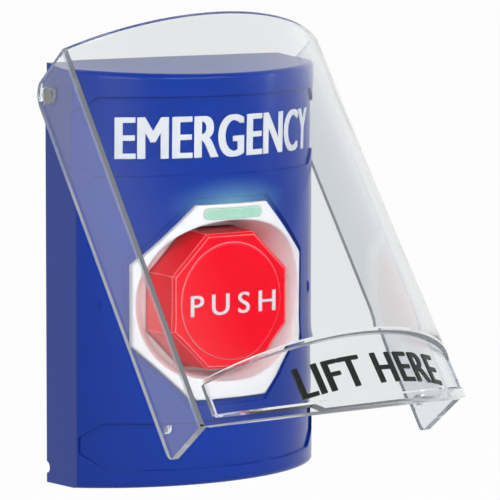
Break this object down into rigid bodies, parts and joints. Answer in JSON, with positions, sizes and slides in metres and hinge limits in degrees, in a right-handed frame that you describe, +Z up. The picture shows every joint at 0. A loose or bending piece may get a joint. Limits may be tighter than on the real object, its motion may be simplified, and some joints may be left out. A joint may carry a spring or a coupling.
{
  "type": "emergency push button",
  "caption": "Wall station with a curved blue front, an octagonal red push button in a white octagonal bezel with a lamp window, and a clear lift-up cover.",
  "frame": {"origin": "middle of the back face, halfway between the two wall box screws, on the wall plane", "axes": "+X to the viewer's right, -Y out of the wall towards the viewer, +Z up"},
  "size_m": [0.0878, 0.1186, 0.1401],
  "materials": {
    "housing_blue": "smooth moulded blue",
    "back_plate_grey": "fine matt, dark grey",
    "bezel_white": "smooth moulded white",
    "lens_green": "translucent pale green",
    "board_green": "lacquered circuit board",
    "lamp_cream": "lamp package",
    "button_red": "smooth moulded red",
    "stem_white": "natural slippery plastic",
    "spring_steel": "bright wire",
    "carrier_black": "fine matt black",
    "screw_zinc": "bright zinc plate",
    "contact_grey": "matt grey",
    "terminal_brass": "satin brass",
    "cover_clear": "clear polished plastic",
    "pin_grey": "translucent smoke grey"
  },
  "bodies": {
    "station": {"front_housing": "housing_blue", "back_plate": "back_plate_grey", "bezel": "bezel_white", "status_lens": "lens_green", "lamp_board": "board_green", "lamp_1": "lamp_cream", "lamp_2": "lamp_cream", "lamp_3": "lamp_cream", "switch_carrier": "carrier_black", "bezel_screw_1": "screw_zinc", "bezel_screw_2": "screw_zinc", "bezel_screw_3": "screw_zinc", "bezel_screw_4": "screw_zinc", "carrier_screw_left": "screw_zinc", "carrier_screw_right": "screw_zinc", "contact_block_left": "contact_grey", "contact_block_right": "contact_grey", "terminal_screw_left_upper": "terminal_brass", "terminal_screw_left_lower": "terminal_brass", "terminal_screw_right_upper": "terminal_brass", "terminal_screw_right_lower": "terminal_brass", "lock_screw_left": "screw_zinc", "lock_screw_right": "screw_zinc"},
    "button": {"button_cap": "button_red", "plunger_stem": "stem_white", "stem_ring": "spring_steel", "pusher_ring": "carrier_black", "return_spring": "spring_steel", "contact_plunger_left": "stem_white", "contact_plunger_right": "stem_white"},
    "cover": {"clear_cover": "cover_clear", "hinge_pin_left": "pin_grey", "hinge_pin_right": "pin_grey"}
  },
  "joints": [
    {"name": "button_press", "type": "slide", "parent": "station", "child": "button", "axis": [0, 1, 0], "range_m": [0, 0.004], "stiffness_N_per_m": 1500, "springref_m": -0.002, "deforming": ["return_spring"]},
    {"name": "cover_hinge", "type": "hinge", "parent": "station", "child": "cover", "pos_m": [0, -0.0063, 0.0528], "axis": [-1, 0, 0], "range_deg": [-37.6, 52]}
  ]
}
